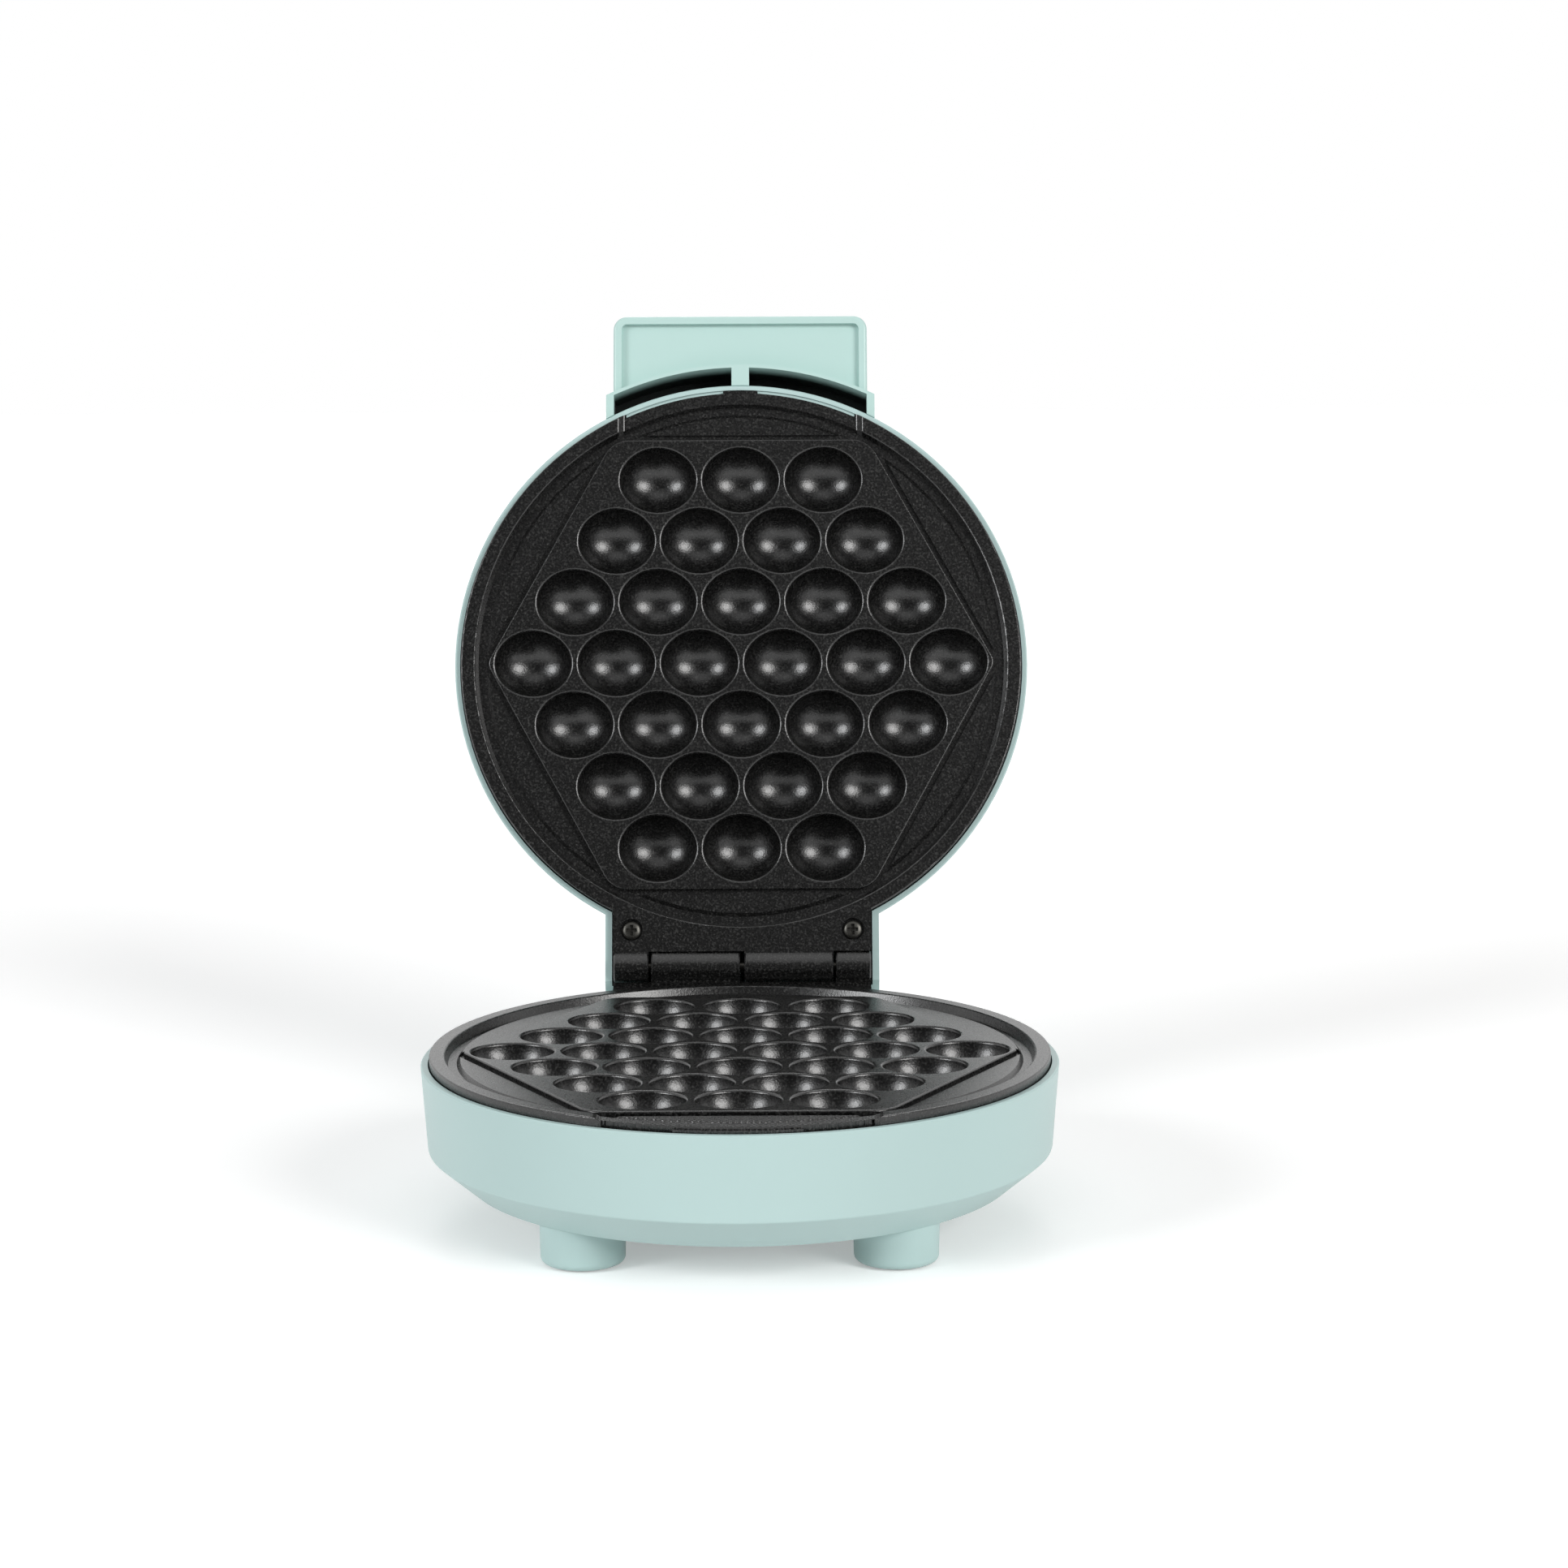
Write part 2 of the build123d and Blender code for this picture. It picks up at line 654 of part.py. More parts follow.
with BuildPart(lid) as upper_housing:
    with BuildSketch(side_section(lid, -neck_half)):
        Polygon(
            (-leg_x, -rim_drop), (-hinge_reach - upper_neck_lip, -rim_drop),
            (-hinge_reach - neck_end(lip_depth), -lip_depth),
            (-hinge_reach - neck_end(upper_neck_depth), -upper_neck_depth),
            (-neck_root, -upper_neck_root_depth), (-leg_x, -upper_neck_root_depth), align=None)
    extrude(amount=2 * neck_half)
    bowl(lid, *upper_form, -rim_drop, edge=wall_edge)
    bowl(lid, *upper_hollow, -plate_seat, inset=wall, mode=Mode.SUBTRACT)
    rod(lid, [(0, 0)], -plate_seat, 0, upper_plate_radius + plate_side_gap, Mode.SUBTRACT)
    with BuildSketch(side_section(lid, wall - neck_half)):
        Polygon(
            (-leg_x, 0), (-hinge_reach - neck_end(0, wall), 0),
            (-hinge_reach - neck_end(upper_neck_depth - wall, wall), wall - upper_neck_depth),
            (-neck_root, wall - upper_neck_root_depth), (-leg_x, wall - upper_neck_root_depth), align=None)
    extrude(amount=2 * (neck_half - wall), mode=Mode.SUBTRACT)
    with BuildSketch(lid.offset(-rim_drop - ledge_drop - ledge_height)):
        Circle(upper_plate_radius + plate_side_gap + ledge_drop)
        Circle(upper_plate_radius + plate_side_gap - ledge_width, mode=Mode.SUBTRACT)
        Rectangle(2 * ledge_half, upper_rim_radius, align=(Align.CENTER, Align.MIN), mode=Mode.INTERSECT)
        Rectangle(
            2 * (tab_half + tab_gap), upper_rim_radius, align=(Align.CENTER, Align.MIN), mode=Mode.SUBTRACT)
    extrude(amount=ledge_height)
    rod(
        lid, neck_places, wall / 2 - upper_neck_root_depth,
        ring_rise - plate_neck_thickness - neck_boss_gap, neck_boss_radius)
    rod(
        lid, neck_places, ring_rise - neck_recess_depth - neck_shank_length - 1, 0, neck_hole, Mode.SUBTRACT)
    for depth in handle_screw_depths:
        with BuildSketch(Plane(
                origin=lid.from_local_coords((0, upper_top_radius, -depth)),
                x_dir=lid.x_dir, z_dir=lid.y_dir)):
            Circle(handle_screw_hole)
        extrude(amount=upper_rim_radius - upper_top_radius + 1, mode=Mode.SUBTRACT)
upper_housing.part.label = "upper_housing"
export_step(upper_housing.part, "parts/upper_housing.step")

# Handle with its flange, rib and pockets
with BuildPart(lid) as handle:
    with BuildSketch(lid.offset(-handle_depth)):
        with Locations((0, upper_top_radius)):
            Rectangle(2 * handle_half, handle_reach - upper_top_radius, align=(Align.CENTER, Align.MIN))
        fillet(vertices().filter_by(lambda corner: corner.Y > flange_radius), handle_corner)
    extrude(amount=handle_depth - handle_face_drop)
    fillet(flat_edges(lid, -handle_depth) + flat_edges(lid, -handle_face_drop), handle_edge)
    with BuildSketch(lid.offset(-handle_face_drop - handle_recess)):
        with Locations((0, upper_top_radius)):
            Rectangle(
                2 * (handle_half - handle_rim), handle_reach - handle_rim - upper_top_radius,
                align=(Align.CENTER, Align.MIN))
        fillet(vertices().filter_by(lambda corner: corner.Y > flange_radius), handle_corner - handle_rim)
    extrude(amount=handle_recess, mode=Mode.SUBTRACT)
    with BuildSketch(lid.offset(-handle_foot_drop)):
        Circle(flange_radius)
        Rectangle(2 * flange_half, flange_radius, align=(Align.CENTER, Align.MIN), mode=Mode.INTERSECT)
    extrude(amount=handle_foot_drop - rim_drop)
    with BuildSketch(lid.offset(pocket_floor - handle_foot_drop)):
        Circle(flange_radius - flange_thickness)
        Rectangle(2 * pocket_half, flange_radius, align=(Align.CENTER, Align.MIN), mode=Mode.INTERSECT)
        Rectangle(2 * rib_half, flange_radius, align=(Align.CENTER, Align.MIN), mode=Mode.SUBTRACT)
    extrude(amount=handle_foot_drop, mode=Mode.SUBTRACT)
    bowl(lid, *upper_form, 0, inset=-handle_seat, mode=Mode.SUBTRACT)
    for depth in handle_screw_depths:
        with BuildSketch(Plane(
                origin=lid.from_local_coords((0, upper_top_radius, -depth)),
                x_dir=lid.x_dir, z_dir=lid.y_dir)):
            Circle(handle_screw_hole)
        extrude(amount=flange_radius - flange_thickness - upper_top_radius, mode=Mode.SUBTRACT)
handle.part.label = "handle"
export_step(handle.part, "parts/handle.step")

# Screws
with BuildPart() as lower_plate_screws:
    for x, y in four_bosses:
        screw(spot(deck, x, y, -post_head), screw_head_radius, screw_head_height, screw_shank, plate_screw_length)
lower_plate_screws.part.label = "lower_plate_screws"
export_step(lower_plate_screws.part, "parts/lower_plate_screws.step")

with BuildPart() as shield_screws:
    for x, y in four_bosses:
        screw(spot(lid, x, y, -shield_end), screw_head_radius, screw_head_height, screw_shank, shield_screw_length)
shield_screws.part.label = "shield_screws"
export_step(shield_screws.part, "parts/shield_screws.step")

with BuildPart() as neck_screws:
    for x, y in neck_places:
        screw(
            spot(lid, x, y, ring_rise - neck_recess_depth, flip=True), neck_head_radius, neck_head_height,
            neck_shank_radius, neck_shank_length)
neck_screws.part.label = "neck_screws"
export_step(neck_screws.part, "parts/neck_screws.step")

with BuildPart() as handle_screws:
    reach = sqrt((upper_wall_radius - wall) ** 2 - handle_screw_head ** 2)
    for depth in handle_screw_depths:
        seat = Plane(origin=lid.from_local_coords((0, reach, -depth)), x_dir=lid.x_dir, z_dir=lid.y_dir)
        screw(seat, handle_screw_head, handle_screw_head_height, handle_screw_shank, handle_screw_length)
handle_screws.part.label = "handle_screws"
export_step(handle_screws.part, "parts/handle_screws.step")

with BuildPart() as sensor_screws:
    for x in (thermostat_screw_x, -thermostat_screw_x):
        screw(
            spot(deck, x, sensor_y, -plate_block - sensor_pad[2] - thermostat_flange[2]), small_head_radius,
            small_head_height, small_shank, small_bore_depth)
    screw(
        spot(deck, 0, clip_screw_y, -plate_block - clip_thickness), small_head_radius, small_head_height,
        small_shank, clip_bore_depth)
sensor_screws.part.label = "sensor_screws"
export_step(sensor_screws.part, "parts/sensor_screws.step")

with BuildPart() as terminal_screws:
    for x, y in block_places:
        screw(
            spot(deck, x, y, block_size[2] - lower_cavity, flip=True), small_head_radius, small_head_height,
            block_screw_shank, block_screw_length)
terminal_screws.part.label = "terminal_screws"
export_step(terminal_screws.part, "parts/terminal_screws.step")

# Thermostat and thermal fuse under the lower plate
flange_face = -plate_block - sensor_pad[2]
thermostat_end = flange_face - thermostat_height

with BuildPart(deck) as thermostat:
    rod(deck, [(0, sensor_y)], thermostat_end, flange_face, thermostat_radius)
    slab(
        thermostat_flange[0], sensor_y - thermostat_flange[1] / 2, sensor_y + thermostat_flange[1] / 2,
        flange_face - thermostat_flange[2], flange_face)
    for x in (thermostat_tab_x, -thermostat_tab_x):
        slab(
            thermostat_tab[1], sensor_y - thermostat_tab[0] / 2, sensor_y + thermostat_tab[0] / 2,
            thermostat_end - thermostat_tab[2], thermostat_end, middle=x)
    rod(
        deck, [(thermostat_screw_x, sensor_y), (-thermostat_screw_x, sensor_y)],
        flange_face - thermostat_flange[2], flange_face, flange_hole, Mode.SUBTRACT)
thermostat.part.label = "thermostat"
export_step(thermostat.part, "parts/thermostat.step")

with BuildPart() as thermal_fuse:
    with BuildSketch(side_section(deck, -fuse_length / 2)):
        with Locations((fuse_y, -plate_block - fuse_radius - fuse_gap)):
            Circle(fuse_radius)
    extrude(amount=fuse_length)
    with BuildSketch(side_section(deck, -fuse_length / 2 - fuse_lead_length)):
        with Locations((fuse_y, -plate_block - fuse_radius - fuse_gap)):
            Circle(fuse_lead_radius)
    extrude(amount=fuse_length + 2 * fuse_lead_length)
thermal_fuse.part.label = "thermal_fuse"
export_step(thermal_fuse.part, "parts/thermal_fuse.step")

with BuildPart() as fuse_clip:
    inner = fuse_radius + fuse_gap
    outer = inner + clip_thickness
    with BuildSketch(side_section(deck, -clip_width / 2)):
        with Locations((fuse_y, -plate_block - inner)):
            Circle(outer)
            Rectangle(2 * outer, outer, align=(Align.CENTER, Align.MIN))
            Circle(inner, mode=Mode.SUBTRACT)
            Rectangle(2 * inner, outer, align=(Align.CENTER, Align.MIN), mode=Mode.SUBTRACT)
        with Locations((fuse_y + inner, -plate_block)):
            Rectangle(clip_foot, clip_thickness, align=(Align.MIN, Align.MAX))
        with Locations((fuse_y, -plate_block)):
            Rectangle(4 * clip_foot, outer, align=(Align.CENTER, Align.MIN), mode=Mode.SUBTRACT)
    extrude(amount=clip_width)
    rod(deck, [(0, clip_screw_y)], -plate_block - clip_thickness, -plate_block, flange_hole, Mode.SUBTRACT)
fuse_clip.part.label = "fuse_clip"
export_step(fuse_clip.part, "parts/fuse_clip.step")

# Terminal block, leads and their connectors
with BuildPart(deck) as terminal_block:
    slab(block_size[0], -block_front - block_size[1], -block_front, -lower_cavity, block_size[2] - lower_cavity)
    fillet(flat_edges(deck, block_size[2] - lower_cavity), block_edge)
    rod(deck, block_places, -lower_cavity, block_size[2] - lower_cavity, block_hole, Mode.SUBTRACT)
terminal_block.part.label = "terminal_block"
export_step(terminal_block.part, "parts/terminal_block.step")

pin_end = terminal_pin_length - element_leg_end

with BuildPart() as base_leads:
    for x in (element_leg_x, -element_leg_x):
        lead(deck, x, [
            (pin_end, -rail_end), (-lead_turn_y, -rail_end), (-lead_turn_y, -element_lead_drop),
            (-block_front, -element_lead_drop)])
    for x in (thermostat_tab_x, -thermostat_tab_x):
        lead(deck, x, [
            (sensor_y, thermostat_end - thermostat_tab[2]), (sensor_y, -thermostat_lead_drop),
            (-block_front, -thermostat_lead_drop)])
base_leads.part.label = "base_leads"
export_step(base_leads.part, "parts/base_leads.step")

with BuildPart() as upper_leads:
    for x in (element_leg_x, -element_leg_x):
        lead(lid, x, [
            (pin_end, -rail_end), (-lead_turn_y, -rail_end), (-lead_turn_y, -upper_lead_drop),
            (-upper_lead_reach, -upper_lead_drop)])
upper_leads.part.label = "upper_leads"
export_step(upper_leads.part, "parts/upper_leads.step")

with BuildPart() as wire_connectors:
    for x in (element_leg_x, -element_leg_x):
        mouth = Plane(
            origin=lid.from_local_coords((x, connector_grip - upper_lead_reach, -upper_lead_drop)),
            x_dir=lid.x_dir, z_dir=lid.y_dir)
        with BuildSketch(mouth):
            Circle(connector_radius)
        extrude(amount=-connector_length)
        with BuildSketch(mouth):
            Circle(connector_bore)
        extrude(amount=-connector_grip - 1, mode=Mode.SUBTRACT)
wire_connectors.part.label = "wire_connectors"
export_step(wire_connectors.part, "parts/wire_connectors.step")

# Cord inlet, foot pads and hinge pin
with BuildPart() as cord_inlet:
    outside = Plane(
        origin=deck.from_local_coords((-inlet_x, -lower_neck_reach, -inlet_drop)),
        x_dir=deck.x_dir, z_dir=deck.y_dir * -1)
    for start, length, radius in (
            (0, inlet_flange_thickness, inlet_flange), (-wall, wall, inlet_body),
            (-wall - inlet_flange_thickness, inlet_flange_thickness, inlet_inner_flange)):
        with BuildSketch(outside.offset(start)):
            Circle(radius)
        extrude(amount=length)
    with BuildSketch(outside.offset(inlet_flange_thickness)):
        Circle(inlet_bore)
    extrude(amount=-wall - 2 * inlet_flange_thickness, mode=Mode.SUBTRACT)
cord_inlet.part.label = "cord_inlet"
export_step(cord_inlet.part, "parts/cord_inlet.step")

with BuildPart() as foot_pads:
    rod(deck, legs, -deck_height, pad_recess - leg_end, pad_radius)
foot_pads.part.label = "foot_pads"
export_step(foot_pads.part, "parts/foot_pads.step")

with BuildPart() as hinge_pin:
    with BuildSketch(side_section(deck, -pin_half)):
        with Locations((-hinge_reach, hinge_rise)):
            Circle(pin_radius)
    extrude(amount=2 * pin_half)
hinge_pin.part.label = "hinge_pin"
export_step(hinge_pin.part, "parts/hinge_pin.step")
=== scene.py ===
"""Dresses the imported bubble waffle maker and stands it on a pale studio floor."""
import json
import math

import bmesh
import bpy
from bpy.props import FloatProperty, FloatVectorProperty, PointerProperty
from mathutils import Matrix, Vector


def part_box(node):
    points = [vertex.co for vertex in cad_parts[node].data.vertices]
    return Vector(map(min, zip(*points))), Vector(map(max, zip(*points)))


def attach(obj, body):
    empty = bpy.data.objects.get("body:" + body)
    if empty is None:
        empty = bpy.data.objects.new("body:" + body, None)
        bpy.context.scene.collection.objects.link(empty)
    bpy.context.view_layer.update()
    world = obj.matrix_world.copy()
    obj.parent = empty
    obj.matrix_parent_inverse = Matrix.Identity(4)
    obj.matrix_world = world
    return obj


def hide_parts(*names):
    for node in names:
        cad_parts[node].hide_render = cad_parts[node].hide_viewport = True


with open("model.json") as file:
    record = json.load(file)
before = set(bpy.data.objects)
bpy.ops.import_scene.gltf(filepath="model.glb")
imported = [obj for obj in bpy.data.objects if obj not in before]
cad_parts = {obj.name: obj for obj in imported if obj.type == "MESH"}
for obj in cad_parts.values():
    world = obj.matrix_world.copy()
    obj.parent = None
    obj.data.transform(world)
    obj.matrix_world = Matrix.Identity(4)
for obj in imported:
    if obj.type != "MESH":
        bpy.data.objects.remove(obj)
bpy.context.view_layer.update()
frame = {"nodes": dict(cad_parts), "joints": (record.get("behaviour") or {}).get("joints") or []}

bl_info = {
    "name": "Bubble waffle maker",
    "version": (1, 0, 0),
    "blender": (4, 5, 0),
    "location": "View3D > Sidebar > Waffle maker",
    "description": "Finishes the housings, plates, handle, hinge and feet of a bubble waffle maker",
    "category": "Object",
}

NODES = frame["nodes"]
LID = frame["joints"][0]
HINGE = Vector(LID["pos_m"])
HINGE_REACH = 0.110  # hinge axis to the middle of a plate
PLATE_Y = HINGE.y - HINGE_REACH
OPENING = math.radians(LID["range_deg"][1])
LID_ALONG = Vector((0, -math.cos(OPENING), math.sin(OPENING)))
LID_FACE = Vector((0, -math.sin(OPENING), -math.cos(OPENING)))
SENSOR_WIDTH = 36.0
PHOTO_WIDTH_PX = 1932
FOCAL_LENGTH_PX = 4800
CAMERA_ASIDE = 0.010896
CAMERA_BEFORE_PLATE = 1.253474
CAMERA_HEIGHT = 0.347743
CAMERA_TURN = (0.1795, 9.2158, -0.2431)  # yaw, pitch and roll in degrees


def linear(code):
    """Linear colour of an sRGB hex value."""
    parts = [int(code[i:i + 2], 16) / 255 for i in (1, 3, 5)]
    return tuple(c / 12.92 if c <= 0.04045 else ((c + 0.055) / 1.055) ** 2.4 for c in parts)


def colour(name, words, code):
    """Colour property with its default written as an sRGB hex value."""
    return FloatVectorProperty(
        name=name, description=words, subtype="COLOR", size=3, min=0, max=1, default=linear(code))


def length(name, words, size):
    """Length property in metres."""
    return FloatProperty(name=name, description=words, default=size, min=0, unit="LENGTH", precision=5)


# Settings

class WaffleColours(bpy.types.PropertyGroup):
    housing: colour("Housing", "Mint polypropylene of the base and the lid", "#B6CFCD")
    handle: colour("Handle", "Mint phenolic of the handle", "#B8D5D0")
    coating: colour("Coating", "Non-stick coating of both plates", "#030303")
    coating_fleck: colour("Coating fleck", "Paler flecks in the non-stick coating", "#3A3A39")
    # painted shade: the dark colour mixed into the pockets of the handle, standing in for the shade deep
    # inside them
    painted_pocket_shade: colour("Pocket", "Inside of the pockets of the handle", "#0C1110")
    screws: colour("Neck screws", "Blackened screws of the lid neck", "#5A5955")
    rubber: colour("Feet", "Rubber of the foot pads", "#232324")


class WaffleSizes(bpy.types.PropertyGroup):
    mould_grain: length("Mould grain", "Width of the fine texture that the mould leaves", 0.0007)
    coat_grain: length("Coat grain", "Width of the bumps in the sprayed coating", 0.0007)
    peel_height: length("Peel height", "Height of the bumps in the sprayed coating", 0.00007)
    mill_height: length("Milling height", "Height of the tool marks on the spout", 0.0001)
    mill_pitch: length("Milling pitch", "Distance between the tool marks on the spout", 0.0013)
    spout_start: length("Spout start", "Plate centre to just past the groove in front of the hexagon", 0.0845)
    spout_half: length("Spout half", "Middle line to the ends of the tool marks", 0.0435)
    spout_top: length("Spout top", "Floor to just above the spout", 0.058)
    step_near: length("Step near", "Middle line to the near edge of the dull steps", 0.0425)
    step_far: length("Step far", "Middle line to the far edge of the dull steps", 0.04435)
    step_up: length("Step up", "Plate centre to the lower end of the dull steps", 0.082)
    pocket_radius: length("Pocket radius", "Plate centre to the middle of the flange wall", 0.1107)
    pocket_half: length("Pocket half", "Middle line to the middle of the flange's side walls", 0.0476)
    pocket_mouth: length("Pocket mouth", "Mouth of the pockets ahead of the hinge axis", 0.001)
    pocket_depth: length("Pocket depth", "Mouth of the pockets to just inside their floor", 0.0182)
    screw_head: length("Screw head", "Radius of the neck screw heads", 0.0033)
    screw_height: length("Screw head height", "Height of the neck screw heads", 0.0019)
    cross_width: length("Cross width", "Width of the cross recess in the neck screws", 0.0012)
    shank_radius: length("Screw shank", "Radius of the neck screw shanks", 0.00175)


# Materials

def add(tree, kind, links=None, **settings):
    """Adds a node with its settings, and sets or links its inputs."""
    node = tree.nodes.new(kind)
    for name, value in settings.items():
        setattr(node, name, value)
    for socket, source in (links or {}).items():
        if isinstance(source, bpy.types.NodeSocket):
            tree.links.new(source, node.inputs[socket])
        else:
            node.inputs[socket].default_value = source
    return node


def worked(tree, operation, first, second=0.0):
    """Result socket of one sum."""
    return add(tree, "ShaderNodeMath", {0: first, 1: second}, operation=operation).outputs[0]


def blank(name):
    """Empty node material with its output and its object coordinates."""
    material = bpy.data.materials.new(name)
    material.use_nodes = True
    tree = material.node_tree
    tree.nodes.clear()
    output = add(tree, "ShaderNodeOutputMaterial")
    place = add(tree, "ShaderNodeTexCoord").outputs["Object"]
    return material, tree, output, place


def mixed(tree, dark, light, factor):
    """Colour socket of a mix between two colours."""
    mix = add(tree, "ShaderNodeMix", {0: factor, 6: (*dark, 1), 7: (*light, 1)}, data_type="RGBA")
    return mix.outputs[2]


def surface(name, dark, light, rough, grain, depth, metal=0.0, patch=0.03):
    """Mottled colour, uneven gloss and a fine grain, all on object coordinates."""
    material, tree, output, place = blank(name)
    broad = add(tree, "ShaderNodeTexNoise", {"Vector": place, "Scale": 1 / patch, "Detail": 3.0})
    fine = add(tree, "ShaderNodeTexNoise", {"Vector": place, "Scale": 1 / grain, "Detail": 2.0})
    tint = mixed(tree, dark, light, broad.outputs["Fac"])
    gloss = add(tree, "ShaderNodeMapRange", {
        "Value": fine.outputs["Fac"], "To Min": rough[0], "To Max": rough[1]})
    bump = add(tree, "ShaderNodeBump", {
        "Height": fine.outputs["Fac"], "Strength": 1.0, "Distance": depth})
    shader = add(tree, "ShaderNodeBsdfPrincipled", {
        "Base Color": tint, "Roughness": gloss.outputs["Result"],
        "Normal": bump.outputs["Normal"], "Metallic": metal})
    tree.links.new(shader.outputs["BSDF"], output.inputs["Surface"])
    return material


def shade(base, factor):
    """Colour made darker or lighter."""
    return tuple(min(1.0, c * factor) for c in base)


def inside(tree, value, limits):
    """Socket that is the value where each place in a list is below its limit, and 0 elsewhere."""
    for place, limit in limits:
        value = worked(tree, "MULTIPLY", value, worked(tree, "LESS_THAN", place, limit))
    return value


def lid_places(tree, place):
    """Sockets for the place on the lid: across, up from the plate centre, and ahead of the hinge axis."""
    from_hinge = add(tree, "ShaderNodeVectorMath", {
        0: place, 1: tuple(HINGE)}, operation="SUBTRACT").outputs["Vector"]
    along, ahead = (add(tree, "ShaderNodeVectorMath", {
        0: from_hinge, 1: tuple(way)}, operation="DOT_PRODUCT") for way in (LID_ALONG, LID_FACE))
    across = worked(tree, "ABSOLUTE", add(tree, "ShaderNodeSeparateXYZ", {"Vector": place}).outputs["X"])
    up = worked(tree, "SUBTRACT", along.outputs["Value"], HINGE_REACH)
    return across, up, ahead.outputs["Value"]


def coated_casting():
    """Cast aluminium with a sprayed and baked non-stick coat.

    The coat has pale flecks and a soft orange peel, and the machined spout shows crossed tool marks.
    The small steps at the top edge of the lid plate are dulled, because they look black in the photograph.
    """
    colours, sizes = bpy.context.scene.waffle_colours, bpy.context.scene.waffle_sizes
    material, tree, output, place = blank("Cast aluminium, sprayed non-stick coat")
    grain = add(tree, "ShaderNodeTexNoise", {
        "Vector": place, "Scale": 1 / sizes.coat_grain, "Detail": 3.0, "Roughness": 0.6})
    fleck = add(tree, "ShaderNodeMapRange", {
        "Value": grain.outputs["Fac"], "From Min": 0.52, "From Max": 0.7})
    tint = mixed(tree, colours.coating, colours.coating_fleck, fleck.outputs["Result"])
    axes = add(tree, "ShaderNodeSeparateXYZ", {"Vector": place})
    x, y, z = (axes.outputs[i] for i in range(3))
    marks = []
    for kind in ("ADD", "SUBTRACT"):
        turn = worked(tree, "MULTIPLY", worked(tree, kind, x, y), math.sqrt(2) * math.pi / sizes.mill_pitch)
        marks.append(worked(tree, "SINE", turn))
    milled = worked(tree, "MAXIMUM", *marks)
    # the tool marks lie on the lower plate, in front of the hexagon and between the ends of the spout
    milled = inside(tree, milled, (
        (y, PLATE_Y - sizes.spout_start), (worked(tree, "ABSOLUTE", x), sizes.spout_half),
        (z, sizes.spout_top)))
    peel = add(tree, "ShaderNodeBump", {
        "Height": grain.outputs["Fac"], "Strength": 1.0, "Distance": sizes.peel_height})
    tool = add(tree, "ShaderNodeBump", {
        "Height": milled, "Strength": 1.0, "Distance": sizes.mill_height, "Normal": peel.outputs["Normal"]})
    gloss = add(tree, "ShaderNodeMapRange", {
        "Value": grain.outputs["Fac"], "To Min": 0.22, "To Max": 0.35})
    across, up, _ = lid_places(tree, place)
    dull = inside(tree, worked(tree, "GREATER_THAN", across, sizes.step_near), (
        (across, sizes.step_far), (worked(tree, "MULTIPLY", up, -1.0), -sizes.step_up)))
    rough = worked(tree, "MAXIMUM", gloss.outputs["Result"], dull)
    shader = add(tree, "ShaderNodeBsdfPrincipled", {
        "Base Color": tint, "Roughness": rough,
        "Normal": tool.outputs["Normal"], "IOR": 1.7})
    tree.links.new(shader.outputs["BSDF"], output.inputs["Surface"])
    return material


def handle_phenolic():
    """Mint phenolic from a polished mould, a little glossier than the housings.

    The pockets of the flange are painted with shade that deepens with depth and is nearly black from 10 mm
    in.
    """
    colours, sizes = bpy.context.scene.waffle_colours, bpy.context.scene.waffle_sizes
    base = tuple(colours.handle)
    material = surface(
        "Phenolic, moulded mint, painted pocket shade", shade(base, 0.985), shade(base, 1.015), (0.3, 0.4),
        sizes.mould_grain, 0.00001)
    tree = material.node_tree
    shader = next(node for node in tree.nodes if node.type == "BSDF_PRINCIPLED")
    mint = shader.inputs["Base Color"].links[0].from_socket
    place = add(tree, "ShaderNodeTexCoord").outputs["Object"]
    across, up, ahead = lid_places(tree, place)
    flat = add(tree, "ShaderNodeCombineXYZ", {"X": across, "Y": up}).outputs[0]
    radius = add(tree, "ShaderNodeVectorMath", {0: flat}, operation="LENGTH").outputs["Value"]
    depth = worked(tree, "SUBTRACT", sizes.pocket_mouth, ahead)
    # painted shade: the pocket colour covers the mint from 2 mm to 10 mm into the pockets, inside the flange
    # only
    where = add(tree, "ShaderNodeMapRange", {
        "Value": depth, "From Min": 0.002, "From Max": 0.01}).outputs["Result"]
    where = inside(tree, where, (
        (radius, sizes.pocket_radius), (across, sizes.pocket_half), (depth, sizes.pocket_depth)))
    mix = add(tree, "ShaderNodeMix", {0: where, 6: mint, 7: (*colours.painted_pocket_shade, 1)}, data_type="RGBA")
    tree.links.new(mix.outputs[2], shader.inputs["Base Color"])
    return material


def coat(piece, material):
    """Gives every slot of a piece one material."""
    piece.data.materials.clear()
    piece.data.materials.append(material)


def smooth(mesh, limit):
    """Smooth shading, with edges sharper than a limit in degrees kept."""
    for polygon in mesh.polygons:
        polygon.use_smooth = True
    form = bmesh.new()
    form.from_mesh(mesh)
    for edge in form.edges:
        edge.smooth = len(edge.link_faces) == 2 and edge.calc_face_angle() < math.radians(limit)
    form.to_mesh(mesh)
    form.free()


def piece_from(mesh, name, body, slot, *nodes):
    """Makes a mesh into a piece that rides on a body and stands for the nodes named."""
    piece = bpy.data.objects.new(name, mesh)
    bpy.context.scene.collection.objects.link(piece)
    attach(piece, body)
    if nodes:
        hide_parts(*nodes)
    return piece


# Pieces

class WAFFLE_OT_housings(bpy.types.Operator):
    """Finish the mint housings of the base and the lid"""
    bl_idname = "waffle.housings"
    bl_label = "Housings"

    def execute(self, context):
        # polypropylene from a lightly textured mould, soft and even in shine
        base = tuple(context.scene.waffle_colours.housing)
        grain = context.scene.waffle_sizes.mould_grain
        plastic = surface(
            "Polypropylene, moulded mint", shade(base, 0.985), shade(base, 1.015), (0.36, 0.46),
            grain, 0.000012)
        coat(NODES["lower_housing"], plastic)
        coat(NODES["upper_housing"], plastic)
        return {"FINISHED"}


